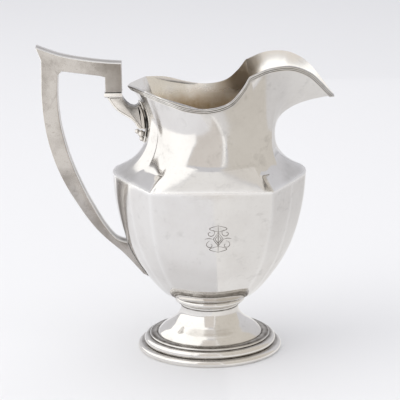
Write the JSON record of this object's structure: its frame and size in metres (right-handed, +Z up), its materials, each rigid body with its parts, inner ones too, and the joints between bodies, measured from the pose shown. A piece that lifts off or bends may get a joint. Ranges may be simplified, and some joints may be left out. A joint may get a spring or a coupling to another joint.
{
  "type": "water pitcher",
  "caption": "Panelled oval silver water pitcher with a spreading foot, angular loop handle, scroll bracket and broad lipped spout edged with a reeded moulding.",
  "frame": {"origin": "centre of the whole object's footprint box, on the plane the foot stands on", "axes": "+Z up; +X towards the spout, -X towards the handle; Y across the width, the near side being -Y"},
  "size_m": [0.2296, 0.118, 0.2506],
  "materials": {
    "body_silver": "polished silver with fine hairline scratches",
    "rim_silver": "polished silver, tarnish in the grooves",
    "foot_silver": "polished silver, tarnish in the grooves",
    "handle_silver": "polished silver with a worn, mottled patina",
    "cast_silver": "cast silver, darker in the recesses"
  },
  "bodies": {
    "root": {"lower_body": "body_silver", "upper_body": "body_silver", "rim_moulding_near": "rim_silver", "rim_moulding_far": "rim_silver", "body_collar": "foot_silver", "foot_pedestal": "foot_silver", "foot_moulding": "foot_silver", "foot_flange": "foot_silver", "handle_shell_near": "handle_silver", "handle_shell_far": "handle_silver", "handle_band": "cast_silver", "upper_bracket": "cast_silver", "bracket_leaf": "cast_silver", "scroll_knob": "cast_silver", "bead_large": "cast_silver", "bead_small": "cast_silver"}
  },
  "joints": []
}
